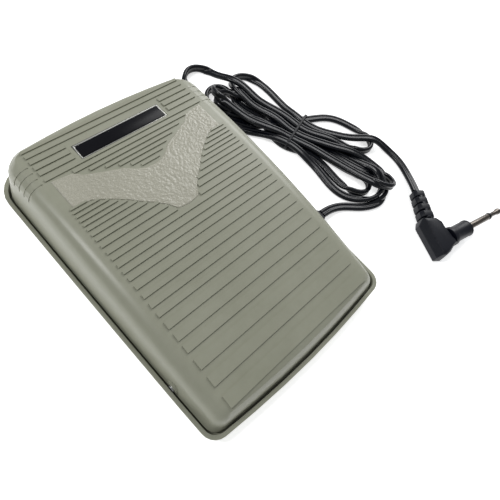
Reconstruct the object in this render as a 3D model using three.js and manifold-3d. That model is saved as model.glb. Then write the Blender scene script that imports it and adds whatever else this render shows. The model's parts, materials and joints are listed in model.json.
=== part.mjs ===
// Foot control with a hinged ribbed treadle over a shallow tray, a switch inside and a flat
// twin-core cord that ends in a right-angled single-pole plug. Millimetres, Z up.
// +Y is the deep end that the foot presses, -Y is the shallow end with the hinge.
import * as THREE from 'three';
import Module from 'manifold-3d';

const wasm = await Module();
wasm.setup();

// ---------------------------------------------------------------- driving dimensions
const BASE_FRONT_Y = -89;
const BASE_BACK_Y = 89;
const HALF_WIDTH = 63.55;
const WIDTH_SLOPE = 0.0075;
const WIDTH_BOW = 0.00004;
const FRONT_BOW = 1.92;
const BACK_BOW = 2.6;
const BOW_REACH = 46;
const BASE_BOTTOM_Z = 1.5;
const BASE_FLOOR_Z = 3.2;
const RIM_Z = 8.3;
const RIM_THICKNESS = 2.0;
const BASE_DRAFT = 0.9;

const TREAD_HEIGHT = 29.045;
const TREAD_SLOPE = 0.06924;
const TREAD_CURVE = -0.000899;
const SKIRT_GAP = 3.0;
const SKIRT_Z = 6.8;
const SHOULDER_DROP = 8.2;
const WALL = 2.2;
const RIB_RISE = 0.6;
const RIB_ROOT = 0.6;
const RIB_HALF = 47.8;
const NOTE_HALF = 29;
const SHOULDER_ANGLES = [20, 42, 64, 90];

const HINGE_Y = -54.7;
const HINGE_Z = 7.3;
const PIN_RADIUS = 1.95;
const PIN_HOLE = 2.05;
const SPRING_X = 30;
const SPRING_Y = 30;
const STOP_X = 40;
const STOP_Y = 66;
const SWITCH_Y = 42;
const CASE_TOP = 17.2;
const CASE_HALF = 5.15;
const SCREW_Z = 8;
const SCREW_SPREAD = 11.1;
const LEVER_Y = 29;
const LEVER_RISE = 6.4;
const SCREW_HOLE = 1.55;
const SHANK = 1.25;
const EXIT_Y = -34.5;
const EXIT_Z = 4.9;
const CLAMP_X = 50;
const CLAMP_SPREAD = 6.8;
const CORD_WIDTH = 5.5;
const CORD_THICKNESS = 2.8;
const GAP = 0.3;

const PLATE = { halfX: 25.3, front: 58.0, back: 65.4 };
const RECESS = { halfX: 26.6, front: 56.9, back: 66.9, depth: 0.9 };

// Near edge and far edge of each rib between the hinge end and the grained panel.
const LOWER_RIBS = [
  [-79.3, -72.9], [-68.0, -62.5], [-58.8, -53.3], [-49.8, -45.6], [-43.3, -39.1], [-36.7, -32.7],
  [-30.0, -27.4], [-24.9, -22.1], [-19.5, -17.0], [-14.3, -11.7], [-9.3, -7.2], [-5.1, -3.3],
  [-1.2, 0.7], [3.1, 4.7],
];
// The same for ribs that stop at the grained panel, with the half width of the panel there.
const SPLIT_RIBS = [
  [6.7, 8.6, 7.5], [10.9, 12.6, 10.0], [14.8, 16.4, 12.5], [18.1, 19.6, 17.0], [21.4, 22.8, 20.5],
  [24.3, 25.6, 24.0], [27.0, 28.2, 27.5], [29.8, 30.9, 30.5], [32.4, 33.4, 34.0], [34.8, 35.8, 39.0],
];
// Ribs inside the notch of the panel, with their half length.
const NOTCH_RIBS = [
  [37.0, 38.6, 5.5], [39.9, 41.6, 9.5], [42.9, 44.5, 14.5], [45.7, 47.4, 20.5], [48.6, 50.4, 27.5],
  [51.6, 53.9, 34.5],
];
// Ribs broken by the smooth field around the name plate, and the full ones beyond it.
const BROKEN_RIBS = [[59.2, 62.0], [63.2, 66.0], [67.3, 69.6]];
const FULL_RIBS = [[54.9, 56.5], [71.4, 73.8], [75.3, 77.2]];

// ---------------------------------------------------------------- shared helpers
const treadHeight = (y) => TREAD_HEIGHT + TREAD_SLOPE * y + TREAD_CURVE * y * y;
const halfWidth = (y) => HALF_WIDTH + WIDTH_SLOPE * y - WIDTH_BOW * y * y;
const frontEdge = (x, inset) => BASE_FRONT_Y + inset + FRONT_BOW * (x / BOW_REACH) ** 2;
const backEdge = (x, inset) => BASE_BACK_Y - inset - BACK_BOW * (x / BOW_REACH) ** 2;
const radians = (degrees) => (degrees * Math.PI) / 180;

function material(color, roughness, metalness = 0) {
  return new THREE.MeshStandardMaterial({ color, roughness, metalness });
}

const PLASTIC = material(0x94927f, 0.5);
const DARK_PLASTIC = material(0x23252a, 0.5);
const RUBBER = material(0x1a1c20, 0.75);
const CORD = material(0x101318, 0.35);
const STEEL = material(0xb9bbbd, 0.35, 1);
const NICKEL = material(0xc8c6c0, 0.2, 1);
const SILVER = material(0xc9c9c6, 0.35, 1);
const BLACK_PLATE = material(0x0b0c10, 0.3);
const BRASS = material(0xb08d4a, 0.4, 1);
const LEAD_RED = material(0x8c2320, 0.5);
const LEAD_WHITE = material(0xd8d6cc, 0.5);

// Half outline from the middle of the near edge to the middle of the far edge, then mirrored.
function outline({ side, front, back, nearRadius, farRadius }) {
  const half = [];
  const nearX = halfWidth(BASE_FRONT_Y) - side - nearRadius;
  const nearTilt = Math.atan((2 * FRONT_BOW * nearX) / BOW_REACH ** 2);
  const nearY = frontEdge(nearX, front) + nearRadius * Math.cos(nearTilt);
  const farX = halfWidth(BASE_BACK_Y) - side - farRadius;
  const farTilt = Math.atan((2 * BACK_BOW * farX) / BOW_REACH ** 2);
  const farY = backEdge(farX, back) - farRadius * Math.cos(farTilt);
  for (const share of [0, 0.35, 0.7]) {
    half.push([nearX * share, frontEdge(nearX * share, front)]);
  }
  for (let i = 0; i <= 5; i += 1) {
    const angle = -Math.PI / 2 + nearTilt + ((Math.PI / 2 - nearTilt) * i) / 5;
    half.push([nearX + nearRadius * Math.cos(angle), nearY + nearRadius * Math.sin(angle)]);
  }
  for (let i = 1; i <= 8; i += 1) {
    const y = nearY + ((farY - nearY) * i) / 9;
    half.push([halfWidth(y) - side, y]);
  }
  for (let i = 0; i <= 6; i += 1) {
    const angle = ((Math.PI / 2 - farTilt) * i) / 6;
    half.push([farX + farRadius * Math.cos(angle), farY + farRadius * Math.sin(angle)]);
  }
  for (const share of [0.7, 0.35, 0]) {
    half.push([farX * share, backEdge(farX * share, back)]);
  }
  const mirrored = half.slice(1, -1).reverse().map(([x, y]) => [-x, y]);
  return half.concat(mirrored);
}

const lift = (points, height) => points.map(([x, y]) => [x, y, height(y)]);
const flat = (points, z) => points.map(([x, y]) => [x, y, z]);

// Closed solid through rings of equal point count; each end is laddered between mirrored points.
function loft(rings) {
  const count = rings[0].length;
  const positions = rings.flat(2);
  const index = [];
  for (let ring = 0; ring < rings.length - 1; ring += 1) {
    for (let i = 0; i < count; i += 1) {
      const next = (i + 1) % count;
      const a = ring * count + i;
      const b = ring * count + next;
      const c = (ring + 1) * count + next;
      const d = (ring + 1) * count + i;
      index.push(a, b, c, a, c, d);
    }
  }
  const last = (rings.length - 1) * count;
  for (let i = 0; i < count / 2; i += 1) {
    const left = (count - i) % count;
    const nextLeft = count - i - 1;
    index.push(i, nextLeft, i + 1, last + i, last + i + 1, last + nextLeft);
    if (left !== i) {
      index.push(i, left, nextLeft, last + i, last + nextLeft, last + left);
    }
  }
  const geometry = new THREE.BufferGeometry();
  geometry.setAttribute('position', new THREE.Float32BufferAttribute(positions, 3));
  geometry.setIndex(index);
  return geometry;
}

function toSolid(geometry) {
  const plain = geometry.index ? geometry.toNonIndexed() : geometry;
  const source = plain.attributes.position.array;
  const keys = new Map();
  const vertices = [];
  const triangles = [];
  for (let i = 0; i < source.length; i += 3) {
    const corner = [source[i], source[i + 1], source[i + 2]];
    const key = corner.map((v) => Math.round(v * 10000) + 0).join(' ');
    if (!keys.has(key)) {
      keys.set(key, vertices.length / 3);
      vertices.push(source[i], source[i + 1], source[i + 2]);
    }
    triangles.push(keys.get(key));
  }
  const kept = [];
  for (let i = 0; i < triangles.length; i += 3) {
    const [a, b, c] = triangles.slice(i, i + 3);
    if (a !== b && b !== c && c !== a) {
      kept.push(a, b, c);
    }
  }
  const mesh = new wasm.Mesh({
    numProp: 3,
    vertProperties: new Float32Array(vertices),
    triVerts: new Uint32Array(kept),
  });
  return new wasm.Manifold(mesh);
}

function toGeometry(solid) {
  const mesh = solid.getMesh();
  const geometry = new THREE.BufferGeometry();
  geometry.setAttribute('position', new THREE.Float32BufferAttribute(mesh.vertProperties, 3));
  geometry.setIndex(new THREE.Uint32BufferAttribute(mesh.triVerts, 1));
  return geometry;
}

function block(x0, x1, y0, y1, z0, z1) {
  const geometry = new THREE.BoxGeometry(x1 - x0, y1 - y0, z1 - z0);
  geometry.translate((x0 + x1) / 2, (y0 + y1) / 2, (z0 + z1) / 2);
  return geometry;
}

function post(x, y, z0, z1, radius, sides = 20) {
  const geometry = new THREE.CylinderGeometry(radius, radius, z1 - z0, sides);
  geometry.rotateX(Math.PI / 2);
  geometry.translate(x, y, (z0 + z1) / 2);
  return geometry;
}

function barAlongX(x0, x1, y, z, radius, sides = 20) {
  const geometry = new THREE.CylinderGeometry(radius, radius, x1 - x0, sides);
  geometry.rotateZ(Math.PI / 2);
  geometry.translate((x0 + x1) / 2, y, z);
  return geometry;
}

// Turned piece: profile of [radius, distance] pairs along +Z.
function turned(profile, sides = 20) {
  const points = profile.map(([r, z]) => new THREE.Vector2(r, z));
  const geometry = new THREE.LatheGeometry(points, sides);
  geometry.rotateX(Math.PI / 2);
  return geometry;
}

// Section carried along a path. Its first axis starts upright where the path starts level, and starts
// level where the path starts square to Y and slopes.
function swept(path, steps, section) {
  return new THREE.ExtrudeGeometry(new THREE.Shape(section), {
    steps, extrudePath: path, bevelEnabled: false,
  });
}

function oval(width, height, sides) {
  return Array.from({ length: sides }, (_, i) => {
    const angle = (2 * Math.PI * (i + 0.5)) / sides;
    return new THREE.Vector2((width / 2) * Math.cos(angle), (height / 2) * Math.sin(angle));
  });
}

const curve = (points) => new THREE.CatmullRomCurve3(points.map((p) => new THREE.Vector3(...p)));

const group = new THREE.Group();
group.name = 'foot_control';

function add(name, geometry, look) {
  const solid = geometry.delete ? geometry : toSolid(geometry);
  const mesh = new THREE.Mesh(toGeometry(solid), look);
  mesh.name = name;
  group.add(mesh);
}

const join = (body, pieces) => pieces.reduce((sum, piece) => sum.add(toSolid(piece)), body);
const cut = (body, pieces) => pieces.reduce((sum, piece) => sum.subtract(toSolid(piece)), body);

// ---------------------------------------------------------------- treadle
function rib(y0, y1, x0, x1) {
  const geometry = block(x0, x1, y0, y1, -RIB_ROOT, RIB_RISE);
  const position = geometry.attributes.position;
  for (let i = 0; i < position.count; i += 1) {
    position.setZ(i, position.getZ(i) + treadHeight(position.getY(i)));
  }
  return geometry;
}

function treadleShell() {
  const rings = [];
  const bottom = { side: SKIRT_GAP, front: 2.9, back: SKIRT_GAP, nearRadius: 6.5, farRadius: 15 };
  rings.push(flat(outline(bottom), SKIRT_Z));
  const crease = { side: 5.4, front: 3.6, back: 4.4, nearRadius: 5.5, farRadius: 13.5 };
  const reach = { side: 8.6, front: 5.2, back: 6.5, nearRadius: -2.5, farRadius: -7.5 };
  rings.push(lift(outline(crease), (y) => treadHeight(y) - SHOULDER_DROP));
  for (const angle of SHOULDER_ANGLES) {
    const share = 1 - Math.cos(radians(angle));
    const shape = {};
    for (const key of Object.keys(crease)) {
      shape[key] = crease[key] + reach[key] * share;
    }
    const drop = SHOULDER_DROP * (1 - Math.sin(radians(angle)));
    rings.push(lift(outline(shape), (y) => treadHeight(y) - drop));
  }
  return toSolid(loft(rings));
}

function treadleHollow() {
  const low = outline({ side: 5.2, front: 5.1, back: 5.2, nearRadius: 4.5, farRadius: 13 });
  const knee = outline({ side: 7.6, front: 6.0, back: 6.8, nearRadius: 4.2, farRadius: 11.5 });
  const bend = outline({ side: 9.8, front: 7.4, back: 8.6, nearRadius: 3.4, farRadius: 9 });
  const top = outline({ side: 14.4, front: 9.6, back: 11.6, nearRadius: 3, farRadius: 6 });
  const below = 5;
  return toSolid(loft([
    flat(low, SKIRT_Z - below),
    flat(low, SKIRT_Z),
    lift(knee, (y) => treadHeight(y) - 10),
    lift(bend, (y) => treadHeight(y) - 4.3),
    lift(top, (y) => treadHeight(y) - WALL),
  ]));
}

function treadle() {
  const ribs = LOWER_RIBS.concat(FULL_RIBS).map(([y0, y1]) => rib(y0, y1, -RIB_HALF, RIB_HALF));
  for (const [y0, y1, inner] of SPLIT_RIBS) {
    ribs.push(rib(y0, y1, inner, RIB_HALF), rib(y0, y1, -RIB_HALF, -inner));
  }
  for (const [y0, y1, reach] of NOTCH_RIBS) {
    ribs.push(rib(y0, y1, -reach, reach));
  }
  for (const [y0, y1] of BROKEN_RIBS) {
    ribs.push(rib(y0, y1, NOTE_HALF, RIB_HALF), rib(y0, y1, -RIB_HALF, -NOTE_HALF));
  }
  const recessTop = treadHeight(RECESS.back) + RIB_RISE + 1;
  const recessFloor = treadHeight(RECESS.back) - RECESS.depth;
  const recess = block(
    -RECESS.halfX, RECESS.halfX, RECESS.front, RECESS.back, recessFloor, recessTop,
  );
  let body = cut(join(treadleShell(), ribs), [recess]).subtract(treadleHollow());
  const inside = [];
  for (const sign of [-1, 1]) {
    inside.push(post(sign * SPRING_X, SPRING_Y, 22.8, 28.8, 3));
    inside.push(post(sign * STOP_X, STOP_Y, 8.2, 28.2, 3));
    const earX = sign * 58.55;
    inside.push(barAlongX(earX - 1.35, earX + 1.35, HINGE_Y, HINGE_Z, 3.8));
  }
  inside.push(block(-3, 3, 50, 54, 21.1, 28.6));
  body = join(body, inside);
  const leftHole = barAlongX(-70, -50, HINGE_Y, HINGE_Z, PIN_HOLE);
  const rightHole = barAlongX(50, 70, HINGE_Y, HINGE_Z, PIN_HOLE);
  return cut(body, [leftHole, rightHole]);
}

function namePlate() {
  const floor = treadHeight(RECESS.back) - RECESS.depth + GAP;
  const frame = block(-RECESS.halfX + GAP, RECESS.halfX - GAP, RECESS.front + GAP, RECESS.back - GAP,
    floor, floor + 0.9);
  const pocket = block(-PLATE.halfX - GAP, PLATE.halfX + GAP, PLATE.front - GAP, PLATE.back + GAP,
    floor + 0.4, floor + 2);
  add('nameplate_frame', cut(toSolid(frame), [pocket]), SILVER);
  add('nameplate', block(-PLATE.halfX, PLATE.halfX, PLATE.front, PLATE.back, floor + 0.7, floor + 1.05),
    BLACK_PLATE);
}

// ---------------------------------------------------------------- tray
function tray() {
  const inset = (depth, nearRadius, farRadius) => outline({
    side: depth, front: depth, back: depth, nearRadius, farRadius,
  });
  const outerLow = inset(BASE_DRAFT, 7.5, 17);
  const outerTop = inset(0, 8, 17.5);
  const innerTop = inset(RIM_THICKNESS, 6.5, 15.8);
  const innerLow = inset(RIM_THICKNESS + 0.2, 6.3, 15.6);
  const pocket = loft([flat(innerLow, BASE_FLOOR_Z), flat(innerTop, RIM_Z), flat(innerTop, RIM_Z + 2)]);
  let body = cut(toSolid(loft([flat(outerLow, BASE_BOTTOM_Z), flat(outerTop, RIM_Z)])), [pocket]);
  const root = BASE_FLOOR_Z - 0.6;
  const standing = [];
  for (const sign of [-1, 1]) {
    const pillar = [sign * 51.5, sign * 55.6].sort((a, b) => a - b);
    standing.push(block(pillar[0], pillar[1], HINGE_Y - 4, HINGE_Y + 4, root, 10));
    standing.push(post(sign * SPRING_X, SPRING_Y, root, 8, 3.4));
    const clampY = EXIT_Y + sign * CLAMP_SPREAD;
    standing.push(block(CLAMP_X - 2.5, CLAMP_X + 2.5, clampY - 2.2, clampY + 2.2, root, 6.3));
  }
  standing.push(block(CASE_HALF + GAP, CASE_HALF + 3.3, SWITCH_Y - 15, SWITCH_Y + 15, root, CASE_TOP));
  body = join(body, standing);
  const holes = [];
  for (const sign of [-1, 1]) {
    const bore = [sign * 52.2, sign * 57].sort((a, b) => a - b);
    holes.push(barAlongX(bore[0], bore[1], HINGE_Y, HINGE_Z, PIN_HOLE));
    holes.push(post(CLAMP_X, EXIT_Y + sign * CLAMP_SPREAD, 2.6, 7, SCREW_HOLE));
    holes.push(barAlongX(5, 9, SWITCH_Y + sign * SCREW_SPREAD, SCREW_Z, SCREW_HOLE));
    for (const end of [-1, 1]) {
      holes.push(post(sign * 48, end * 70, 0, 2.3, 6.3));
    }
  }
  holes.push(block(60, 65, EXIT_Y - 4, EXIT_Y + 4, 2.2, 10));
  return cut(body, holes);
}

function feet() {
  let number = 0;
  for (const end of [-1, 1]) {
    for (const sign of [-1, 1]) {
      number += 1;
      const pad = turned([[0, 0], [5.2, 0], [6, 0.6], [6, 2], [0, 2]]);
      pad.translate(sign * 48, end * 70, 0);
      add(`foot_${number}`, pad, RUBBER);
    }
  }
}

// ---------------------------------------------------------------- hinge, springs and stops
function hingePins() {
  add('hinge_pin_left', barAlongX(-60.6, -52.5, HINGE_Y, HINGE_Z, PIN_RADIUS), STEEL);
  add('hinge_pin_right', barAlongX(52.5, 60.6, HINGE_Y, HINGE_Z, PIN_RADIUS), STEEL);
}

function returnSprings() {
  const turns = 7.5;
  const low = 4.3;
  const high = treadHeight(SPRING_Y) - WALL - 1.1;
  class Coil extends THREE.Curve {
    getPoint(t, target = new THREE.Vector3()) {
      const angle = 2 * Math.PI * turns * t;
      return target.set(5.3 * Math.cos(angle), 5.3 * Math.sin(angle), low + (high - low) * t);
    }
  }
  for (const [name, sign] of [['return_spring_left', -1], ['return_spring_right', 1]]) {
    const coil = swept(new Coil(), Math.round(turns * 10), oval(1.4, 1.4, 6));
    coil.translate(sign * SPRING_X, SPRING_Y, 0);
    add(name, coil, STEEL);
  }
}

function stopPads() {
  for (const [name, sign] of [['stop_pad_left', -1], ['stop_pad_right', 1]]) {
    add(name, post(sign * STOP_X, STOP_Y, BASE_FLOOR_Z + GAP, 5.1, 4.5), RUBBER);
  }
}

// ---------------------------------------------------------------- switch
function switchLever() {
  const length = 27;
  const thickness = 0.5;
  const lever = block(-2.3, 2.3, 0, length, 0, thickness);
  lever.rotateX(radians(LEVER_RISE));
  lever.translate(0, LEVER_Y, CASE_TOP + GAP);
  add('switch_lever', lever, STEEL);
}

function switchScrew(name, y) {
  const head = 1.6;
  const screw = turned([[0, 0], [2.4, 0], [2.7, 0.6], [2.7, head], [SHANK, head], [SHANK, 15.2], [0, 15.2]]);
  screw.rotateY(Math.PI / 2);
  screw.translate(-CASE_HALF - GAP - head, y, SCREW_Z);
  add(name, screw, STEEL);
}

function switchParts() {
  const front = SWITCH_Y - 13.9;
  const back = SWITCH_Y + 13.9;
  const plungerY = SWITCH_Y - 6;
  const holes = [
    barAlongX(-6, 6, SWITCH_Y - SCREW_SPREAD, SCREW_Z, SCREW_HOLE),
    barAlongX(-6, 6, SWITCH_Y + SCREW_SPREAD, SCREW_Z, SCREW_HOLE),
    post(0, plungerY, CASE_TOP - 4, CASE_TOP + 1, 1.7),
  ];
  const box = toSolid(block(-CASE_HALF, CASE_HALF, front, back, 4, CASE_TOP));
  add('switch_case', cut(box, holes), DARK_PLASTIC);
  add('switch_plunger', post(0, plungerY, CASE_TOP - 2.8, CASE_TOP + 0.78, 1.4), LEAD_RED);
  switchLever();
  switchScrew('switch_screw_front', SWITCH_Y - SCREW_SPREAD);
  switchScrew('switch_screw_back', SWITCH_Y + SCREW_SPREAD);
  for (const [name, z] of [['terminal_common', 7], ['terminal_contact', 12]]) {
    add(name, block(-3.2, 3.2, front - 4.1, front - GAP, z, z + 0.6), BRASS);
  }
}

// ---------------------------------------------------------------- cord inside the tray
function insideCord() {
  const mid = EXIT_Y;
  add('cord_inside', swept(curve([[60.4, mid, EXIT_Z], [54, mid, EXIT_Z], [46, mid, EXIT_Z]]), 4,
    oval(CORD_THICKNESS, CORD_WIDTH, 10)), CORD);
  const bar = cut(toSolid(block(CLAMP_X - 2.5, CLAMP_X + 2.5, mid - 9.2, mid + 9.2, 6.6, 8.4)), [
    post(CLAMP_X, mid - CLAMP_SPREAD, 6, 9, SCREW_HOLE),
    post(CLAMP_X, mid + CLAMP_SPREAD, 6, 9, SCREW_HOLE),
  ]);
  add('cord_clamp', bar, PLASTIC);
  for (const [name, sign] of [['clamp_screw_front', -1], ['clamp_screw_back', 1]]) {
    const screw = turned([[0, 3], [SHANK, 3], [SHANK, 8.7], [2.6, 8.7], [2.6, 9.6], [1.6, 10.3], [0, 10.3]]);
    screw.translate(CLAMP_X, mid + sign * CLAMP_SPREAD, 0);
    add(name, screw, STEEL);
  }
  const wire = oval(1.7, 1.7, 8);
  const toCommon = [[45.4, mid + 1.4, EXIT_Z], [38, mid + 2, 5], [14, mid + 18, 5], [4, 6, 5.2], [0.9, 18, 7],
    [0.9, 22.6, 7.3]];
  const toContact = [[45.4, mid - 1.4, EXIT_Z], [36, mid - 3, 5], [4, mid + 8, 5], [-6, 2, 5.4],
    [-1.5, 15, 11], [-1, 22.6, 12.3]];
  add('wire_common', swept(curve(toCommon), 24, wire), LEAD_WHITE);
  add('wire_contact', swept(curve(toContact), 24, wire), LEAD_RED);
}

// ---------------------------------------------------------------- cord outside
function gland() {
  const ring = (x, w, z0, z1) => {
    const chamfer = 0.6;
    return [
      [x, EXIT_Y - w + chamfer, z0], [x, EXIT_Y + w - chamfer, z0], [x, EXIT_Y + w, z0 + chamfer],
      [x, EXIT_Y + w, z1 - chamfer], [x, EXIT_Y + w - chamfer, z1], [x, EXIT_Y - w + chamfer, z1],
      [x, EXIT_Y - w, z1 - chamfer], [x, EXIT_Y - w, z0 + chamfer],
    ];
  };
  return loft([
    ring(61.3, 3.7, 2.5, 6), ring(63.6, 3.7, 2.5, 6), ring(63.6, 5, 1.7, 7.6), ring(65, 5, 1.7, 7.6),
    ring(65, 4.2, 2.2, 7.2), ring(68.8, 3.3, 3, 6.6),
  ]);
}

// Outer edge of the folded hank, seen from above: deep end, far side, plug side, near side.
const HANK_EDGE = [
  [66.2, 66], [68.5, 77], [77, 82], [88, 80.5], [96, 73], [102, 57], [110, 41], [116.8, 26.8],
  [120.8, 23.8], [128, 22.9], [136.5, 18], [143, 6], [144.8, -9], [141.5, -20], [132.5, -28], [131, -41],
  [124, -51.5], [110, -53.3], [97, -47.5], [91, -35], [93, -15], [94.5, 0], [90, 13], [82, 32], [71, 50],
];
const HANK_LOW = 1.4;
const HANK_HIGH = 11;
const TIE = { x: 102.9, y: 21.8, along: -71.1, halfSpan: 16.3, wall: 1.1 };

function hank() {
  const edge = new THREE.CatmullRomCurve3(HANK_EDGE.map(([x, y]) => new THREE.Vector3(x, y, 0)), true);
  const points = edge.getPoints(72).slice(0, -1).map(({ x, y }) => new THREE.Vector2(x, y));
  const geometry = new THREE.ExtrudeGeometry(new THREE.Shape(points), {
    depth: HANK_HIGH - HANK_LOW, bevelEnabled: false,
  });
  geometry.translate(0, 0, HANK_LOW);
  add('cord_hank', geometry, CORD);
}

function tie() {
  const half = 0.7;
  const low = HANK_LOW - GAP - 0.9;
  const high = HANK_HIGH + GAP + 0.9;
  const span = TIE.halfSpan;
  const outer = toSolid(block(-half, half, -span - TIE.wall, span + TIE.wall, low, high));
  const inner = block(-1, 1, -span, span, HANK_LOW - GAP, HANK_HIGH + GAP);
  const ring = toGeometry(cut(outer, [inner]));
  ring.rotateZ(radians(TIE.along));
  ring.translate(TIE.x, TIE.y, 0);
  add('cord_tie', ring, DARK_PLASTIC);
}

function outsideCord() {
  const flatWay = oval(CORD_THICKNESS, CORD_WIDTH, 10);
  const edgeWay = oval(CORD_WIDTH, CORD_THICKNESS, 10);
  const exit = [
    [69.6, EXIT_Y, 4.7], [74, -34.4, 3.4], [80, -34.8, 2.4], [86, -36.5, 1.8], [89.7, -38.4, 1.8],
  ];
  add('cord_exit', swept(curve(exit), 8, edgeWay), CORD);
  const backLoop = [
    [67.6, 79.3, 2.9], [68.3, 84, 2.9], [70.6, 91, 2.9], [76, 98.5, 2.9], [84, 102.3, 3.2], [89.5, 95, 4.5],
    [91.6, 86, 6], [92, 81.2, 6.6],
  ];
  add('cord_back_loop', swept(curve(backLoop), 16, edgeWay), CORD);
  const sideLoop = [
    [97.8, 77.6, 3.4], [104.5, 78.2, 2.9], [111.8, 74.8, 2.9], [115.8, 67, 2.9], [115.8, 56, 2.9],
    [115, 46, 3.2], [114.9, 38.5, 3.8],
  ];
  add('cord_side_loop', swept(curve(sideLoop), 14, edgeWay), CORD);
  const lead = [
    [144.8, -17.6, 3.8], [147.3, -22.5, 2.6], [149.2, -29, 1.9], [148.8, -38, 1.9], [144.6, -48.5, 2.4],
    [138.6, -56.5, 3.8], [133.9, -61.7, 5.2],
  ];
  add('cord_lead', swept(curve(lead), 14, flatWay), CORD);
}

// ---------------------------------------------------------------- plug
const PLUG_Z = 5.7;
const SHAFT_FROM = new THREE.Vector3(139.6, -99.5, PLUG_Z);
const SHAFT_TO = new THREE.Vector3(171.2, -106.8, PLUG_Z);

function alongShaft(geometry) {
  const direction = SHAFT_TO.clone().sub(SHAFT_FROM).normalize();
  geometry.applyQuaternion(new THREE.Quaternion().setFromUnitVectors(new THREE.Vector3(0, 0, 1), direction));
  geometry.translate(SHAFT_FROM.x, SHAFT_FROM.y, SHAFT_FROM.z);
  return geometry;
}

function plugRelief() {
  const start = new THREE.Vector3(133.2, -62.7, 5.3);
  const end = new THREE.Vector3(120.6, -79.6, PLUG_Z);
  const along = end.clone().sub(start).normalize();
  const side = new THREE.Vector3(0, 0, 1).cross(along).normalize();
  const top = new THREE.Vector3().crossVectors(along, side).normalize();
  const ring = (distance, half) => {
    const centre = start.clone().addScaledVector(along, distance);
    const soft = half * 0.6;
    const corners = [[-soft, -half], [soft, -half], [half, -soft], [half, soft], [soft, half], [-soft, half],
      [-half, soft], [-half, -soft]];
    return corners.map(([s, t]) => centre.clone().addScaledVector(side, s).addScaledVector(top, t).toArray());
  };
  const rings = [];
  const pitch = 5.2;
  for (let i = 0; i < 4; i += 1) {
    const half = 4.1 + 0.2 * i;
    rings.push(ring(i * pitch, half), ring(i * pitch + 3.9, half));
    if (i < 3) {
      rings.push(ring(i * pitch + 4, 2.9), ring(i * pitch + 5.1, 2.9));
    }
  }
  add('plug_relief', loft(rings), RUBBER);
}

function plugBody() {
  const plan = [
    [104.7, -99.0], [108.5, -101.8], [112.5, -102.2], [117.0, -101.4], [121.7, -101.4], [124.3, -90.1],
    [126.0, -86.0], [124.9, -81.5], [117.6, -76.1], [114.0, -78.4],
  ];
  const centre = plan.reduce(([sx, sy], [x, y]) => [sx + x / plan.length, sy + y / plan.length], [0, 0]);
  const layers = [[0.4, 0.95], [2.5, 1], [6.5, 1], [9.2, 0.92], [11, 0.72]];
  const positions = [];
  const index = [];
  for (const [z, scale] of layers) {
    for (const [x, y] of plan) {
      positions.push(centre[0] + (x - centre[0]) * scale, centre[1] + (y - centre[1]) * scale, z);
    }
  }
  const count = plan.length;
  for (let layer = 0; layer < layers.length - 1; layer += 1) {
    for (let i = 0; i < count; i += 1) {
      const a = layer * count + i;
      const b = layer * count + ((i + 1) % count);
      index.push(a, b, b + count, a, b + count, a + count);
    }
  }
  const last = (layers.length - 1) * count;
  for (let i = 1; i < count - 1; i += 1) {
    index.push(0, i + 1, i, last, last + i, last + i + 1);
  }
  const geometry = new THREE.BufferGeometry();
  geometry.setAttribute('position', new THREE.Float32BufferAttribute(positions, 3));
  geometry.setIndex(index);
  add('plug_body', geometry, RUBBER);
}

function plugMetal() {
  const barrel = [
    [0, -16.6], [6.1, -16.6], [6.1, -13.8], [5.2, -13.8], [5.2, -1.2], [5.4, -1.2], [5.4, -0.4],
    [4.6, 0], [0, 0],
  ];
  const tip = [
    [0, 21.9], [2.1, 21.9], [1.5, 23.4], [1.5, 28.2], [2.05, 29.8], [2.05, 31.2], [1.3, 32.2], [0, 32.4],
  ];
  add('plug_barrel', alongShaft(turned(barrel)), RUBBER);
  add('plug_sleeve', alongShaft(turned([[0, GAP], [2.1, GAP], [2.1, 20.4], [0, 20.4]])), NICKEL);
  add('plug_insulator', alongShaft(turned([[0, 20.7], [2.25, 20.7], [2.25, 21.6], [0, 21.6]])), DARK_PLASTIC);
  add('plug_tip', alongShaft(turned(tip)), NICKEL);
}

// ---------------------------------------------------------------- assembly
add('treadle', treadle(), PLASTIC);
namePlate();
add('tray', tray(), PLASTIC);
feet();
hingePins();
returnSprings();
stopPads();
switchParts();
insideCord();
add('cord_gland', gland(), RUBBER);
outsideCord();
hank();
tie();
plugRelief();
plugBody();
plugMetal();

export default group;
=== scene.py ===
import json
import math

import bpy
import numpy as np
from mathutils import Matrix, Vector


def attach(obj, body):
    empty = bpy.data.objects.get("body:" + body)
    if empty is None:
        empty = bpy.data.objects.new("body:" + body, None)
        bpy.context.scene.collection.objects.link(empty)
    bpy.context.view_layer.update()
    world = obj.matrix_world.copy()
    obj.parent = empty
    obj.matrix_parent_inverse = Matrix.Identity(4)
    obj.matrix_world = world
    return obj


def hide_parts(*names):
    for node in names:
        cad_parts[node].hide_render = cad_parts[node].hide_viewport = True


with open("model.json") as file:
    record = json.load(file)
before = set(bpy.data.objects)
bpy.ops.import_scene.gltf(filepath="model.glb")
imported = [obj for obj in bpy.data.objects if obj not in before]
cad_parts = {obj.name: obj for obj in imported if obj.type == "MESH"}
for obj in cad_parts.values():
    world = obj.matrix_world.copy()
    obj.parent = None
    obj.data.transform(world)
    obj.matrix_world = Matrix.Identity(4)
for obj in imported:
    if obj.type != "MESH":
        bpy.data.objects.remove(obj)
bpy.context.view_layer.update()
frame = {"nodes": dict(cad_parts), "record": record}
MM = 0.001


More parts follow.
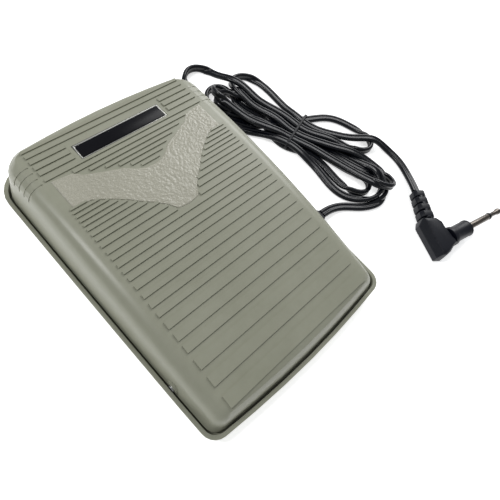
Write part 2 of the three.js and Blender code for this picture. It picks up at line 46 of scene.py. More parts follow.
# ---------------------------------------------------------------- camera
def add_camera():
    right = Vector((0.71008, -0.67609, 0.19671)).normalized()
    back = Vector((-0.44681, -0.21674, 0.86797)).normalized()
    up = back.cross(right).normalized()
    right = up.cross(back)
    turn = Matrix((right, up, back)).transposed().to_4x4()
    data = bpy.data.cameras.new("camera")
    data.lens = 32.53
    data.sensor_width = 36
    data.clip_start = 0.01
    data.clip_end = 20
    camera = bpy.data.objects.new("camera", data)
    bpy.context.scene.collection.objects.link(camera)
    camera.matrix_world = Matrix.Translation((-0.09185, -0.07878, 0.21936)) @ turn
    bpy.context.scene.camera = camera


# ---------------------------------------------------------------- mesh helpers
def deselect():
    if bpy.context.object and bpy.context.object.mode != "OBJECT":
        bpy.ops.object.mode_set(mode="OBJECT")
    bpy.ops.object.select_all(action="DESELECT")


def pick(piece):
    deselect()
    piece.select_set(True)
    bpy.context.view_layer.objects.active = piece
    return piece


def settle_place(piece):
    pick(piece)
    bpy.ops.object.transform_apply(location=True, rotation=True, scale=True)
    return piece


def mesh_piece(name, points, faces):
    mesh = bpy.data.meshes.new(name)
    mesh.from_pydata([tuple(p) for p in points], [], faces)
    piece = bpy.data.objects.new(name, mesh)
    bpy.context.scene.collection.objects.link(piece)
    return pick(piece)


def face_out(piece):
    pick(piece)
    bpy.ops.object.mode_set(mode="EDIT")
    bpy.ops.mesh.select_all(action="SELECT")
    bpy.ops.mesh.normals_make_consistent(inside=False)
    bpy.ops.object.mode_set(mode="OBJECT")
    return piece


def apply_modifier(piece, kind, **settings):
    pick(piece)
    modifier = piece.modifiers.new(kind.lower(), kind)
    for key, value in settings.items():
        setattr(modifier, key, value)
    bpy.ops.object.modifier_apply(modifier=modifier.name)
    return piece


def bevelled(piece, width, segments=2, angle=30):
    return apply_modifier(
        piece, "BEVEL", width=width, segments=segments, limit_method="ANGLE",
        angle_limit=math.radians(angle), harden_normals=False, use_clamp_overlap=True,
    )


def smooth(piece, angle=35):
    pick(piece)
    bpy.ops.object.shade_smooth_by_angle(angle=math.radians(angle))
    return piece


def copy_of(node, name):
    """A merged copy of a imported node, free to be bevelled."""
    source = frame["nodes"][node]
    piece = bpy.data.objects.new(name, source.data.copy())
    piece.data.materials.clear()
    bpy.context.scene.collection.objects.link(piece)
    pick(piece)
    bpy.ops.object.mode_set(mode="EDIT")
    bpy.ops.mesh.select_all(action="SELECT")
    bpy.ops.mesh.remove_doubles(threshold=1e-6)
    bpy.ops.mesh.dissolve_limited(angle_limit=math.radians(0.06))
    bpy.ops.object.mode_set(mode="OBJECT")
    return piece


def finish_piece(piece, body, slot, *nodes):
    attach(piece, body)
    if nodes:
        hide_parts(*nodes)
    return piece


def loft(name, rings):
    """Closed tube through rings of equal point count, capped at both ends."""
    count = len(rings[0])
    points = [p for ring in rings for p in ring]
    faces = []
    for r in range(len(rings) - 1):
        for i in range(count):
            a, b = r * count + i, r * count + (i + 1) % count
            faces.append((a, b, b + count, a + count))
    last = (len(rings) - 1) * count
    faces.append(tuple(range(count))[::-1])
    faces.append(tuple(last + i for i in range(count)))
    return face_out(mesh_piece(name, points, faces))


# ---------------------------------------------------------------- cord: where it lies
CORD_WIDTH, CORD_THICK = 5.5, 2.8
LOW, HIGH = 2.7, 5.9
TIE_AT = np.array([103.0, 19.5])
TIE_ALONG = np.array([19.0, -55.5]) / np.hypot(19.0, 55.5)
TIE_ACROSS = np.array([-TIE_ALONG[1], TIE_ALONG[0]])
PITCH = 5.6
LEAST_RADIUS = 8.6
STATION = 3.0
RINGS_PER_STATION = 4
SLACK = 0.15
FLOOR_GAP = 0.25
TREADLE_EDGE = 66.6

FROM_GLAND = [
    (69.6, -34.5, 4.7), (74, -34.4, 3.4), (80, -34.8, 2.4), (88, -37.5, 1.6), (96, -43, 1.6),
    (104, -49.5, 2.8), (112, -51.7, 2.8), (120.5, -49, 2.8), (124.3, -39.5, 2.8), (122.5, -29, 2.4),
    (117, -15, 1.6), (111, -2, 1.6),
]
# Each pass through the tie: place across it, layer, whether it runs towards the plug, and the loop after.
PASSES = [
    (0, LOW, False, [
        (98, 40, LOW), (95, 54, 2.8), (93.3, 66, 2.9), (89, 76, 2.9), (81, 79.5, 2.9), (73, 76, 2.9),
        (70.3, 67, 2.9), (74, 55, 2.9), (84, 43, 2.7), (95, 33, LOW)]),
    (PITCH, LOW, True, [
        (116, 3, 3.6), (121, -12, 4.2), (125, -26, 5.0), (125, -38, 6.6), (119, -46, 7.6),
        (110, -47.8, 7.4), (101, -44.8, 6.2), (94.5, -37.5, 4.6), (92.2, -28, 3.4), (93.3, -17, 3.0),
        (97, -5, 3.2), (98.5, 4, 4.5)]),
    (-2 * PITCH, HIGH, False, [
        (87, 36, 4.5), (77, 46, 2.9), (68.7, 58, 2.9), (67.2, 74, 2.9), (69.5, 89, 2.9), (76, 98.5, 3.0),
        (84, 102.3, 3.4), (89.5, 95, 5.5), (92, 84, 8.5), (93.5, 72, 10), (97, 56, 9.2), (101, 41, 7.6)]),
    (PITCH, HIGH, True, [
        (116, 4, 5.8), (122.5, -8, 5.2), (128, -17, 4.0), (134.5, -21.5, 3.4), (141.5, -18, 3.0),
        (143.2, -9, 3), (142.5, 1, 3), (139.5, 10.5, 3), (133.5, 18.3, 3), (126, 21.5, 3), (119, 23, 2.9)]),
    (2 * PITCH, LOW, False, [
        (104, 42, LOW), (97, 52, 4.2), (91.5, 62, 5.6), (86, 71, 6.2), (78.5, 72, 6.4), (74.3, 65, 6.0),
        (77, 54, 5.2), (86, 42, 3.5), (92, 35, LOW)]),
    (-PITCH, LOW, True, [
        (103, 4, 1.7), (108.5, -9, 2.2), (113.5, -21, 2.8), (117, -31, 3.0), (114.5, -39.3, 3.0),
        (107.5, -41.5, 3.0), (101.5, -36.5, 3.0), (99.3, -28, 3.0), (99.5, -16, 3.0), (101.5, -4, 2.9),
        (101.5, 4, 2.8)]),
    (-2 * PITCH, LOW, False, [
        (94, 38, LOW), (92.5, 50, 3.2), (91, 60, 3.8), (89.3, 69, 5.4), (85.5, 75.3, 8.2),
        (79, 76.6, 11.4), (75.3, 71.5, 12.4), (77, 61.5, 11.2), (82, 48, 9.2), (88, 36, 7.6)]),
    (-PITCH, HIGH, True, [
        (102.5, 4, HIGH + 0.8), (106.5, -11, 8.2), (109.5, -26, 10), (112, -39.5, 12), (117, -48, 12),
        (124.5, -50.5, 8.6), (129.5, -44, 5.0), (129, -33, 3.6), (124, -17, 4.4), (116, 0, 5.6)]),
    (0, HIGH, False, [
        (100, 40, HIGH), (96, 54, 6.8), (92, 65, 7.6), (91.8, 72, 7.0), (96.5, 77.5, 4.6),
        (104.5, 78.2, 2.9), (111.8, 74.8, 2.9), (115.8, 67, 2.9), (115.8, 56, 2.9), (115, 44, 3.6),
        (114.5, 34, 5.0)]),
    (2 * PITCH, HIGH, True, [
        (118.5, 12, 6.2), (125, 3, 6.6), (132, -5, 7.2), (138.5, -12, 6.4), (145.5, -18.5, 3.5),
        (149.2, -28, 1.8), (148.8, -38, 1.8), (144.6, -48.5, 2.4), (138.6, -56.5, 3.8),
        (134.2, -61.4, 5.1)]),
]


def cord_stops():
    """The points that the cord passes, in millimetres."""
    stops = list(FROM_GLAND)
    for number, (across, layer, to_plug, loop) in enumerate(PASSES):
        along = (-10, -4) if number == 4 else (-8, 0, 8)
        for u in along if to_plug else along[::-1]:
            x, y = TIE_AT + TIE_ALONG * u + TIE_ACROSS * across
            stops.append((x, y, layer))
        stops += loop
    return np.array(stops, float)


def even_stations(line, step):
    gaps = np.linalg.norm(np.diff(line, axis=0), axis=1)
    run = np.concatenate([[0], np.cumsum(gaps)])
    at = np.linspace(0, run[-1], int(round(run[-1] / step)) + 1)
    return np.stack([np.interp(at, run, line[:, k]) for k in range(3)], 1)


def between(one, two, start, end, at):
    return ((end - at) * one + (at - start) * two) / (end - start)


def curve_through(stops, step):
    """Centripetal curve through the stops, then even stations."""
    q = np.vstack([2 * stops[0] - stops[1], stops, 2 * stops[-1] - stops[-2]])
    line = []
    for i in range(1, len(q) - 2):
        p = q[i - 1:i + 3]
        knot = np.concatenate([[0], np.cumsum(np.linalg.norm(np.diff(p, axis=0), axis=1) ** 0.5)])
        for t in np.linspace(knot[1], knot[2], 12, endpoint=False):
            one = [between(p[k], p[k + 1], knot[k], knot[k + 1], t) for k in range(3)]
            two = [between(one[k], one[k + 1], knot[k], knot[k + 2], t) for k in range(2)]
            line.append(between(two[0], two[1], knot[1], knot[2], t))
    line.append(stops[-1])
    return even_stations(np.array(line), step)


def softened(values, rounds):
    values = values.copy()
    for _ in range(rounds):
        values[1:-1] = 0.25 * values[:-2] + 0.5 * values[1:-1] + 0.25 * values[2:]
    return values


def plan_bend(line, reach):
    """Signed bend seen from above at each station, per millimetre."""
    a, b, c = line[:-2 * reach, :2], line[reach:-reach, :2], line[2 * reach:, :2]
    one, two, whole = b - a, c - b, c - a
    cross = one[:, 0] * two[:, 1] - one[:, 1] * two[:, 0]
    size = np.linalg.norm(one, axis=1) * np.linalg.norm(two, axis=1) * np.linalg.norm(whole, axis=1)
    bend = 2 * cross / np.maximum(size, 1e-9)
    return np.concatenate([np.full(reach, bend[0]), bend, np.full(reach, bend[-1])])


def edge_turn(line, step):
    """Flat cord stands on its edge to go round a tight bend: its roll at each station."""
    bend = softened(np.abs(plan_bend(line, 3)), int(160 / step / step))
    share = np.clip((bend - 0.04) / 0.035, 0, 1)
    return share * share * (3 - 2 * share) * math.pi / 2


def cord_axes(line, roll):
    along = np.gradient(line, axis=0)
    along /= np.linalg.norm(along, axis=1)[:, None]
    level = np.cross(np.tile([0.0, 0.0, 1.0], (len(along), 1)), along)
    level /= np.linalg.norm(level, axis=1)[:, None]
    rise = np.cross(along, level)
    c, s = np.cos(roll)[:, None], np.sin(roll)[:, None]
    return level * c + rise * s, rise * c - level * s


def half_size(way, wide, thin):
    across, through = (way * wide).sum(-1), (way * thin).sum(-1)
    return np.sqrt((CORD_WIDTH / 2 * across) ** 2 + (CORD_THICK / 2 * through) ** 2)


def lay_cord(line, step):
    """Runs that share a place push each other apart and down onto the floor, and tight bends open."""
    rounds, pull = 500, 0.04
    home, count = line.copy(), len(line)
    first, second = np.triu_indices(count, int(9 / step))
    free = np.ones((count, 1))
    free[:4] = free[-4:] = 0
    span = 3
    chord = 2 * LEAST_RADIUS * math.sin(span * step / LEAST_RADIUS)
    for turn in range(rounds):
        if turn % 5 == 0:
            wide, thin = cord_axes(line, edge_turn(line, step))
        gap = line[second] - line[first]
        square = np.einsum("ij,ij->i", gap, gap)
        near = square < (CORD_WIDTH + 0.4) ** 2
        i, j, away = first[near], second[near], np.sqrt(np.maximum(square[near], 1e-9))
        way = gap[near] / away[:, None]
        over = half_size(way, wide[i], thin[i]) + half_size(way, wide[j], thin[j]) + SLACK - away
        i, j, push = i[over > 0], j[over > 0], way[over > 0] * over[over > 0][:, None] * 0.5
        move, hits = np.zeros_like(line), np.zeros(count)
        np.add.at(move, i, -push)
        np.add.at(move, j, push)
        np.add.at(hits, i, 1)
        np.add.at(hits, j, 1)
        line = line + 1.2 * move / np.maximum(hits, 1)[:, None] * free
        across = line[2 * span:] - line[:-2 * span]
        length = np.linalg.norm(across, axis=1)
        short = np.clip(chord - length, 0, None)
        spread = across / np.maximum(length, 1e-6)[:, None] * short[:, None] * 0.15
        move = np.zeros_like(line)
        move[2 * span:] += spread
        move[:-2 * span] -= spread
        line = line + move * free
        line = line + (home - line) * pull * (1 - turn / rounds) ** 2 * free
        even = np.zeros_like(line)
        even[2:-2] = (-line[:-4] + 4 * line[1:-3] - 6 * line[2:-2] + 4 * line[3:-1] - line[4:]) / 16
        line = line + even * 0.6 * free
        low = np.sqrt((CORD_WIDTH / 2 * wide[:, 2]) ** 2 + (CORD_THICK / 2 * thin[:, 2]) ** 2)
        line[:, 2] -= 0.015 * free[:, 0]
        line[:, 2] = np.maximum(line[:, 2], low + FLOOR_GAP)
        line[:, 0] = np.maximum(line[:, 0], TREADLE_EDGE)
    return softened(line, 5)


def twin_section():
    """Two round cores side by side with a shallow groove between them, as (wide, thin) in millimetres."""
    sides = 16
    core = CORD_THICK / 2
    offset = CORD_WIDTH / 2 - core
    open_at = math.radians(50)
    ring = []
    for sign, start in ((1, -math.pi + open_at), (-1, open_at)):
        for k in range(sides + 1):
            angle = start + (2 * math.pi - 2 * open_at) * k / sides
            ring.append((sign * offset + core * math.cos(angle), core * math.sin(angle)))
    return ring


def build_cord():
    line = lay_cord(curve_through(cord_stops(), STATION), STATION)
    roll = edge_turn(line, STATION)
    steps = len(line) * RINGS_PER_STATION
    at = np.linspace(0, len(line) - 1, steps)
    fine = smooth_path(line, at)
    roll = np.interp(at, np.arange(len(line)), roll)
    wide, thin = cord_axes(fine, softened(roll, 4))
    section = twin_section()
    rings = [
        [tuple((centre + w * u + t * v) * MM) for u, v in section]
        for centre, w, t in zip(fine, wide, thin)
    ]
    cord = loft("cord", rings)
    around = len(section)
    run = np.concatenate([[0], np.cumsum(np.linalg.norm(np.diff(fine, axis=0), axis=1))]) * MM
    along = cord.data.attributes.new("run", "FLOAT", "POINT")
    along.data.foreach_set("value", np.repeat(run, around).astype(np.float32))
    smooth(cord, 60)
    finish_piece(cord, "base", "cord", "cord_exit", "cord_back_loop", "cord_side_loop", "cord_hank",
                 "cord_lead")
    return cord, fine * MM, float(run[-1])


def smooth_path(line, at):
    """The stations, taken through a cubic curve at finer steps."""
    index = np.clip(np.floor(at).astype(int), 0, len(line) - 2)
    t = (at - index)[:, None]
    before = line[np.maximum(index - 1, 0)]
    one, two = line[index], line[index + 1]
    after = line[np.minimum(index + 2, len(line) - 1)]
    slope_one, slope_two = (two - before) / 2, (after - one) / 2
    return ((2 * t**3 - 3 * t**2 + 1) * one + (t**3 - 2 * t**2 + t) * slope_one
            + (3 * t**2 - 2 * t**3) * two + (t**3 - t**2) * slope_two)


# ---------------------------------------------------------------- shader helper
class Value:
    """A socket that takes part in arithmetic, adding Math nodes as it goes."""

    def __init__(self, tree, socket):
        self.tree, self.socket = tree, socket

    def math(self, operation, *others):
        node = self.tree.nodes.new("ShaderNodeMath")
        node.operation = operation
        for place, value in enumerate((self, *others)):
            if isinstance(value, Value):
                self.tree.links.new(value.socket, node.inputs[place])
            else:
                node.inputs[place].default_value = value
        return Value(self.tree, node.outputs[0])

    def __add__(self, other):
        return self.math("ADD", other)

    __radd__ = __add__

    def __mul__(self, other):
        return self.math("MULTIPLY", other)

    __rmul__ = __mul__

    def __sub__(self, other):
        return self.math("SUBTRACT", other)

    def __rsub__(self, other):
        return (self * -1) + other


class Finish:
    """One material: node() adds any node, and shade() joins values to its surface shader."""

    def __init__(self, name, **surface):
        self.material = bpy.data.materials.new(name)
        self.material.use_nodes = True
        self.tree = self.material.node_tree
        self.surface = self.tree.nodes["Principled BSDF"]
        for socket, value in surface.items():
            self.surface.inputs[socket.replace("_", " ")].default_value = value
        self.place = self.node("TexCoord", output="Object")

    def node(self, kind, settings=None, output=0, **inputs):
        node = self.tree.nodes.new("ShaderNode" + kind)
        for key, value in (settings or {}).items():
            setattr(node, key, value)
        for key, value in inputs.items():
            socket = node.inputs[int(key[1:]) if key[0] == "_" else key.replace("_", " ")]
            if isinstance(value, Value):
                self.tree.links.new(value.socket, socket)
            else:
                socket.default_value = value
        return Value(self.tree, node.outputs[output])

    def noise(self, scale, detail=3, roughness=0.55, place=None):
        return self.node("TexNoise", Vector=place or self.place, Scale=scale, Detail=detail,
                         Roughness=roughness)

    def stretched(self, x, y, z):
        return self.node("Mapping", Vector=self.place, Scale=(x, y, z))

    def tint(self, share, dark, light):
        return self.node("Mix", {"data_type": "RGBA"}, output=2, Factor=share, _6=dark, _7=light)

    def shade(self, **sockets):
        for name, value in sockets.items():
            self.tree.links.new(value.socket, self.surface.inputs[name.replace("_", " ")])
        return self.material

    def bump(self, height, distance, strength):
        return self.node("Bump", Height=height, Distance=distance, Strength=strength)


def rgba(red, green, blue):
    """Colour from 0 to 255 display values."""
    return tuple(((c / 255 + 0.055) / 1.055) ** 2.4 if c > 10 else c / 255 / 12.92
                 for c in (red, green, blue)) + (1.0,)


# ---------------------------------------------------------------- finishes
def moulded_grey():
    finish = Finish("moulded_grey", Roughness=0.36, IOR=1.5)
    cloud = finish.noise(22, 3)
    mottle = finish.noise(240, 3)
    speck = finish.noise(2600, 2)
    scuff = finish.noise(70, 6, 0.7, place=finish.stretched(1, 6, 1))
    share = cloud * 0.6 + mottle * 0.3 + speck * 0.1
    colour = finish.tint(share, rgba(132, 133, 115), rgba(160, 161, 145))
    roughness = 0.22 + cloud * 0.05 + scuff * 0.12 + speck * 0.08
    grain = finish.bump(speck * 0.5 + mottle * 0.5, 0.00003, 0.4)
    return finish.shade(Base_Color=colour, Roughness=roughness, Normal=grain)


def pebbled_grey():
    finish = Finish("pebbled_grey", Roughness=0.4, IOR=1.5)
    cloud = finish.noise(22, 3)
    pebble = finish.node("TexVoronoi", {"feature": "SMOOTH_F1"}, output="Distance",
                         Vector=finish.place, Scale=900, Smoothness=0.4)
    crumb = finish.noise(1500, 3, 0.6)
    share = cloud * 0.5 + crumb * 0.5
    colour = finish.tint(share, rgba(136, 134, 118), rgba(190, 188, 174))
    roughness = 0.2 + crumb * 0.15
    grain = finish.bump(crumb - pebble * 0.8, 0.00016, 0.7)
    return finish.shade(Base_Color=colour, Roughness=roughness, Normal=grain)


def soft_black(name, low, high, roughness, grain_scale=1800, depth=0.00005):
    finish = Finish(name, Roughness=roughness, IOR=1.48, Specular_IOR_Level=0.3)
    cloud = finish.noise(60, 4)
    grain = finish.noise(grain_scale, 3, 0.6)
    dust = finish.noise(420, 5, 0.7)
    colour = finish.tint(cloud * 0.5 + dust * 0.5, rgba(*low), rgba(*high))
    rough = (roughness - 0.1) + cloud * 0.1 + dust * 0.12
    return finish.shade(Base_Color=colour, Roughness=rough, Normal=finish.bump(grain, depth, 0.5))


def cord_black():
    finish = Finish("cord_black", Roughness=0.2, IOR=1.5, Specular_IOR_Level=0.25,
                    Coat_Weight=0.12, Coat_Roughness=0.08)
    run = finish.node("Attribute", {"attribute_name": "run"}, output="Fac")
    cloud = finish.noise(90, 3)
    fine = finish.noise(1400, 2)
    along = finish.node("TexNoise", {"noise_dimensions": "1D"}, W=run, Scale=160, Detail=3)
    colour = finish.tint(cloud * 0.6 + fine * 0.4, rgba(4, 6, 11), rgba(11, 14, 23))
    roughness = 0.2 + cloud * 0.1 + fine * 0.04
    return finish.shade(Base_Color=colour, Roughness=roughness,
                        Normal=finish.bump(along * 0.7 + fine * 0.3, 0.000004, 0.2))


def plated(name, low, high, roughness, stretch=(1, 1, 1)):
    finish = Finish(name, Roughness=roughness, Metallic=1.0)
    brushed = finish.noise(900, 4, 0.6, place=finish.stretched(*stretch))
    cloud = finish.noise(150, 3)
    colour = finish.tint(cloud * 0.5 + brushed * 0.5, rgba(*low), rgba(*high))
    rough = (roughness - 0.08) + brushed * 0.12 + cloud * 0.06
    return finish.shade(Base_Color=colour, Roughness=rough, Normal=finish.bump(brushed, 0.00002, 0.4))


def gloss_plastic(name, low, high):
    roughness = 0.3
    finish = Finish(name, Roughness=roughness, IOR=1.5)
    cloud = finish.noise(180, 4)
    fine = finish.noise(1500, 2)
    colour = finish.tint(cloud * 0.6 + fine * 0.4, rgba(*low), rgba(*high))
    return finish.shade(Base_Color=colour, Roughness=(roughness - 0.06) + cloud * 0.12,
                        Normal=finish.bump(fine, 0.00003, 0.4))


def label_black():
    finish = Finish("label_black", Roughness=0.3, IOR=1.35, Specular_IOR_Level=0.2)
    cloud = finish.noise(60, 4)
    scratch = finish.noise(300, 5, 0.7, place=finish.stretched(1, 9, 1))
    colour = finish.tint(cloud * 0.6 + scratch * 0.4, rgba(5, 5, 8), rgba(22, 22, 27))
    return finish.shade(Base_Color=colour, Roughness=0.22 + scratch * 0.22,
                        Normal=finish.bump(scratch, 0.00003, 0.3))


def floor_white():
    finish = Finish("floor_white", Roughness=0.9, Specular_IOR_Level=0.1)
    cloud = finish.noise(3, 3)
    fine = finish.noise(300, 3)
    colour = finish.tint(cloud * 0.7 + fine * 0.3, rgba(250, 250, 250), rgba(255, 255, 255))
    finish.surface.inputs["Emission Color"].default_value = (1, 1, 1, 1)
    finish.surface.inputs["Emission Strength"].default_value = 0.6
    return finish.shade(Base_Color=colour, Roughness=0.85 + fine * 0.1)


def make_finishes():
    return {
        "grey_plastic": moulded_grey(),
        "pebbled_grey": pebbled_grey(),
        "dark_plastic": soft_black("dark_plastic", (8, 9, 12), (22, 24, 30), 0.5),
        "rubber": soft_black("rubber", (7, 9, 16), (20, 23, 34), 0.4, 1300, 0.00006),
        "cord": cord_black(),
        "steel": plated("steel", (150, 152, 154), (200, 200, 200), 0.3),
        "nickel": plated("nickel", (70, 66, 62), (120, 114, 108), 0.3),
        "silver": plated("silver", (168, 168, 164), (206, 206, 200), 0.36, (1, 12, 1)),
        "black_plate": label_black(),
        "brass": plated("brass", (160, 128, 66), (200, 170, 104), 0.32),
        "red_plastic": gloss_plastic("red_plastic", (120, 26, 22), (170, 46, 38)),
        "white_plastic": gloss_plastic("white_plastic", (206, 204, 194), (230, 228, 220)),
    }


def paint(piece, material):
    piece.data.materials.clear()
    piece.data.materials.append(material)


def paint_packed_nodes(finishes):
    for part in frame["record"]["subparts"]:
        node = frame["nodes"][part["node"]]
        material = finishes[part["material_slot"]]
        if not node.material_slots:
            node.data.materials.append(material)
        for place in node.material_slots:
            place.material = material


# ---------------------------------------------------------------- treadle and tray
TREAD_HEIGHT, TREAD_SLOPE, TREAD_CURVE = 29.045, 0.06924, -0.000899
SHOULDER_DROP = 8.2
PANEL_RISE = 0.28
PANEL_HALF = 46
GRAIN_CELL = 0.75
SHOULDER_GROOVES = [54.51, 58.56, 62.61, 66.75]
GROOVE_HALF = 0.38


def tread_height(y):
    return TREAD_HEIGHT + TREAD_SLOPE * y + TREAD_CURVE * y * y


def half_width(y):
    return 63.55 + 0.0075 * y - 0.00004 * y * y


def groove_blades():
    """Thin curved blades that follow both rounded shoulders down to the crease."""
    points, faces = [], []
    steps = 12
    for sign in (-1, 1):
        for at in SHOULDER_GROOVES:
            start = len(points)
            for k in range(steps + 1):
                angle = math.radians(6 + 86 * k / steps)
                for depth in (-GROOVE_HALF, 0.9):
                    x = half_width(at) - 14.0 + (8.6 + depth) * math.cos(angle)
                    z = tread_height(at) - SHOULDER_DROP + (SHOULDER_DROP + depth) * math.sin(angle)
                    for side in (-GROOVE_HALF, GROOVE_HALF):
                        points.append((sign * x * MM, (at + side) * MM, z * MM))
            for k in range(steps):
                a = start + 4 * k
                faces += [(a, a + 1, a + 5, a + 4), (a + 2, a + 6, a + 7, a + 3),
                          (a, a + 4, a + 6, a + 2), (a + 1, a + 3, a + 7, a + 5)]
            end = start + 4 * steps
            faces += [(start, start + 2, start + 3, start + 1), (end, end + 1, end + 3, end + 2)]
    return face_out(mesh_piece("groove_blades", points, faces))


def build_treadle(finishes):
    treadle = copy_of("treadle", "treadle_moulding")
    blades = groove_blades()
    apply_modifier(treadle, "BOOLEAN", operation="DIFFERENCE", object=blades, solver="EXACT")
    bpy.data.objects.remove(blades)
    bevelled(treadle, 0.00022, 2, 24)
    smooth(treadle, 40)
    apply_modifier(treadle, "WEIGHTED_NORMAL", keep_sharp=True, weight=60)
    paint(treadle, finishes["grey_plastic"])
    return finish_piece(treadle, "pedal", "grey_plastic", "treadle")


PANEL_FAR = [
    (0, 34.8), (4.6, 35.3), (9.2, 37.6), (13.8, 41.35), (23, 45.0), (32.2, 49.2), (35, 52.4), (46, 53.8),
]
PANEL_NEAR = [
    (0, 6.2), (6.4, 7.1), (9.2, 11.7), (13.8, 16.3), (18.4, 20.1), (23, 24.7), (27.6, 28.4),
    (32.2, 31.6), (36.8, 34.4), (46, 35.3),
]


def field_at(field, across, along):
    """Random field read between its points."""
    i, j = int(across), int(along)
    u, v = across - i, along - j
    return ((field[i, j] * (1 - u) + field[i + 1, j] * u) * (1 - v)
            + (field[i, j + 1] * (1 - u) + field[i + 1, j + 1] * u) * v)


def build_panel(finishes):
    """Raised pebbled panel in the shape of a wide V, following the crown of the tread."""
    step = 0.5
    columns = int(2 * PANEL_HALF / step)
    rows = 64
    far, near = np.array(PANEL_FAR), np.array(PANEL_NEAR)
    field = np.random.default_rng(7).uniform(-0.15, 0.15, (140, 90))
    xs = np.linspace(-PANEL_HALF, PANEL_HALF, columns + 1)
    lows = np.interp(abs(xs), near[:, 0], near[:, 1])
    highs = np.interp(abs(xs), far[:, 0], far[:, 1])
    points, faces = [], []
    for x, low, high in zip(xs, lows, highs):
        for k in range(rows + 1):
            y = low + (high - low) * k / rows
            lift = -0.1
            if min(k, rows - k, (PANEL_HALF - abs(x)) / step) >= 1:
                lift = PANEL_RISE
                lift += field_at(field, (x + PANEL_HALF) / GRAIN_CELL, y / GRAIN_CELL)
            points.append((x * MM, y * MM, (tread_height(y) + lift) * MM))
    for c in range(columns):
        for k in range(rows):
            a = c * (rows + 1) + k
            b = a + rows + 1
            faces.append((a, b, b + 1, a + 1))
    top = len(points)
    for x, low, high in zip(xs, lows, highs):
        for y in (low, high):
            points.append((x * MM, y * MM, (tread_height(y) - 0.5) * MM))
    for c in range(columns):
        a, b = top + 2 * c, top + 2 * c + 2
        one, two = c * (rows + 1), (c + 1) * (rows + 1)
        faces.append((a, a + 1, b + 1, b))
        faces.append((a, b, two, one))
        faces.append((a + 1, one + rows, two + rows, b + 1))
    for c, order in ((0, 1), (columns, -1)):
        side = [c * (rows + 1) + k for k in range(rows + 1)] + [top + 2 * c + 1, top + 2 * c]
        faces.append(tuple(side[::order]))
    panel = face_out(mesh_piece("grained_panel", points, faces))
    smooth(panel, 60)
    paint(panel, finishes["pebbled_grey"])
    return finish_piece(panel, "pedal", "grey_plastic")


def build_tray(finishes):
    tray = copy_of("tray", "tray_moulding")
    bevelled(tray, 0.0003, 3, 40)
    smooth(tray, 40)
    paint(tray, finishes["grey_plastic"])
    return finish_piece(tray, "base", "grey_plastic", "tray")


def build_nameplate(finishes):
    frame_piece = copy_of("nameplate_frame", "nameplate_edge")
    bevelled(frame_piece, 0.00018, 2, 40)
    smooth(frame_piece, 40)
    paint(frame_piece, finishes["silver"])
    finish_piece(frame_piece, "pedal", "silver", "nameplate_frame")
    plate = copy_of("nameplate", "nameplate_face")
    bevelled(plate, 0.00012, 2, 40)
    smooth(plate, 40)
    paint(plate, finishes["black_plate"])
    finish_piece(plate, "pedal", "black_plate", "nameplate")


# ---------------------------------------------------------------- tie round the hank
def build_tie(path, finishes):
    """Thin band drawn round the runs where they cross the tie's line."""
    half_band, wall_thickness, margin = 0.0008, 0.0009, 0.0033
    centre = Vector((*TIE_AT, 0)) * MM
    along = Vector((*TIE_ALONG, 0))
    across = Vector((*TIE_ACROSS, 0))
    near = [p for p in map(Vector, path)
            if abs((p - centre).dot(along)) < 0.0012 and abs((p - centre).dot(across)) < 0.0155]
    reach = [(p - centre).dot(across) for p in near]
    left, right = min(reach) - margin, max(reach) + margin
    top = max(p.z for p in near) + 0.0019
    low = 0.0003
    middle, half = (left + right) / 2, (right - left) / 2
    height, rise = (top + low) / 2, (top - low) / 2
    rings = []
    steps = 72
    for k in range(steps):
        angle = 2 * math.pi * k / steps
        c, s = math.cos(angle), math.sin(angle)
        u = middle + half * math.copysign(abs(c) ** 0.45, c)
        z = height + rise * math.copysign(abs(s) ** 0.7, s)
        rings.append((u, z))
    points, faces = [], []
    for wall in (0.0, wall_thickness):
        for u, z in rings:
            shrink = 1 - wall / max(half, 1e-6)
            for end in (-half_band, half_band):
                p = centre + across * (middle + (u - middle) * shrink) + along * end
                points.append((p.x, p.y, max(z - wall * (z - height) / rise, 0.0002)))
    for k in range(steps):
        n = (k + 1) % steps
        a, b, c, d = 2 * k, 2 * k + 1, 2 * n + 1, 2 * n
        inner = 2 * steps
        faces += [(a, b, c, d), (inner + a, inner + d, inner + c, inner + b),
                  (a, d, inner + d, inner + a), (b, inner + b, inner + c, c)]
    tie = face_out(mesh_piece("cord_tie_band", points, faces))
    bevelled(tie, 0.00025, 2, 40)
    smooth(tie, 50)
    paint(tie, finishes["dark_plastic"])
    finish_piece(tie, "base", "dark_plastic", "cord_tie")
    return tie


# ---------------------------------------------------------------- gland and plug
PLUG_OUTLINE = [
    (104.7, -99.0), (108.5, -101.8), (112.5, -102.2), (117.0, -101.4), (121.7, -101.4), (124.3, -90.1),
    (126.0, -86.0), (124.9, -81.5), (117.6, -76.1), (114.0, -78.4),
]


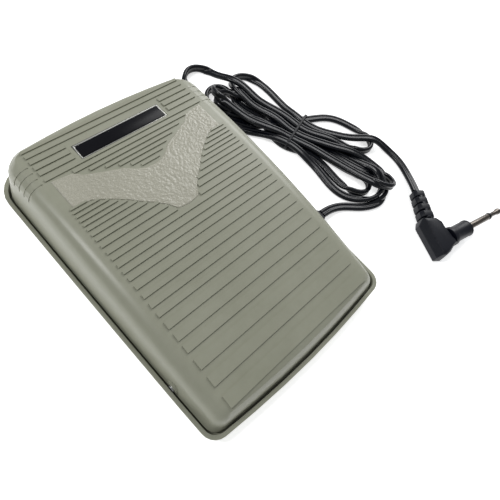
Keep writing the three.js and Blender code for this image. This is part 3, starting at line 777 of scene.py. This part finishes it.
def build_plug_body(finishes):
    """Moulded elbow: a flat-sided block, drawn in towards its top and most of all on its long side."""
    outline = np.array(PLUG_OUTLINE)
    following = np.roll(outline, -1, axis=0)
    run = following - outline
    run /= np.linalg.norm(run, axis=1)[:, None]
    outward = np.stack([run[:, 1], -run[:, 0]], 1)

    def inset(depth, long_side):
        """The outline drawn in by depth, and by long_side on the long straight side."""
        share = np.full(len(outline), depth)
        share[-1] = long_side
        ring = []
        for k in range(len(outline)):
            a, b = outward[k - 1], outward[k]
            away = np.array([share[k - 1], share[k]])
            shift = np.linalg.solve(np.array([a, b]), -away) if abs(a @ b) < 0.995 else -b * share[k]
            ring.append(outline[k] + shift)
        return ring

    rings = []
    for z, depth, long_side in ((0.4, 0.5, 0.5), (1.0, 0, 0), (5.4, 0, 0.15), (9.3, 0.35, 2.3),
                                (10.4, 1.3, 2.7), (10.8, 3.2, 3.6)):
        rings.append([(x * MM, y * MM, z * MM) for x, y in inset(depth, long_side)])
    body = loft("plug_body_moulding", rings)
    bevelled(body, 0.00045, 3, 25)
    smooth(body, 32)
    paint(body, finishes["rubber"])
    return finish_piece(body, "base", "rubber", "plug_body")


def build_relief_spine(finishes):
    """Smooth rib that runs along the top of the toothed strain relief."""
    start, end = Vector((133.0, -63.0, 9.35)), Vector((120.9, -79.2, 10.35))
    along = (end - start).normalized()
    side = Vector((0, 0, 1)).cross(along).normalized()
    rings = []
    for share, half, drop in ((0, 0.9, 1.0), (0.03, 1.15, 0.25), (0.5, 1.3, 0), (0.97, 1.45, 0),
                              (1, 1.45, 0.3)):
        centre = start.lerp(end, share) - Vector((0, 0, drop))
        ring = [(-1, -2.6), (1, -2.6), (1, -0.3), (0.62, 0), (-0.62, 0), (-1, -0.3)]
        rings.append([tuple((centre + side * (u * half) + Vector((0, 0, v))) * MM) for u, v in ring])
    spine = loft("plug_relief_spine", rings)
    bevelled(spine, 0.0002, 2, 25)
    smooth(spine, 40)
    paint(spine, finishes["rubber"])
    return finish_piece(spine, "base", "rubber")


def build_plug(finishes):
    pieces = [build_plug_body(finishes), build_relief_spine(finishes)]
    for node, bevel_width, look in (
        ("plug_relief", 0.0004, "rubber"),
        ("plug_barrel", 0.0004, "rubber"), ("plug_sleeve", 0.00012, "nickel"),
        ("plug_insulator", 0.0001, "dark_plastic"), ("plug_tip", 0.00015, "nickel"),
        ("cord_gland", 0.0005, "rubber"),
    ):
        piece = copy_of(node, node + "_moulding")
        bevelled(piece, bevel_width, 3, 28)
        smooth(piece, 42)
        paint(piece, finishes[look])
        finish_piece(piece, "base", look, node)
        pieces.append(piece)
    return pieces


# ---------------------------------------------------------------- stage
def add_floor(material):
    bpy.ops.mesh.primitive_plane_add(size=6, location=(0, 0, -0.0001))
    floor = settle_place(bpy.context.object)
    floor.name = "floor"
    paint(floor, material)


def add_light(name, place, target, size, power):
    data = bpy.data.lights.new(name, "AREA")
    data.shape = "RECTANGLE"
    data.size, data.size_y = size
    data.energy = power
    light = bpy.data.objects.new(name, data)
    bpy.context.scene.collection.objects.link(light)
    light.location = place
    light.rotation_mode = "QUATERNION"
    light.rotation_quaternion = (Vector(target) - Vector(place)).to_track_quat("-Z", "Y")


def add_lights():
    world = bpy.data.worlds.new("soft_room")
    bpy.context.scene.world = world
    world.use_nodes = True
    back = world.node_tree.nodes["Background"]
    back.inputs["Color"].default_value = (0.96, 0.98, 1.0, 1)
    back.inputs["Strength"].default_value = 0.36
    add_light("window", (-0.56, 0.42, 1.02), (-0.04, 0, 0.02), (0.1, 0.5), 5.2)
    add_light("key", (1.2, 0.56, 0.9), (0, 0, 0), (0.9, 0.9), 15)
    bpy.context.scene.view_settings.view_transform = "Standard"


# ---------------------------------------------------------------- assembly
add_camera()
cord_piece, cord_path, cord_length = build_cord()
finish_set = make_finishes()
paint(cord_piece, finish_set["cord"])
paint_packed_nodes(finish_set)
tie_piece = build_tie(cord_path, finish_set)
plug_pieces = build_plug(finish_set)
build_treadle(finish_set)
build_panel(finish_set)
build_tray(finish_set)
build_nameplate(finish_set)
add_floor(floor_white())
add_lights()
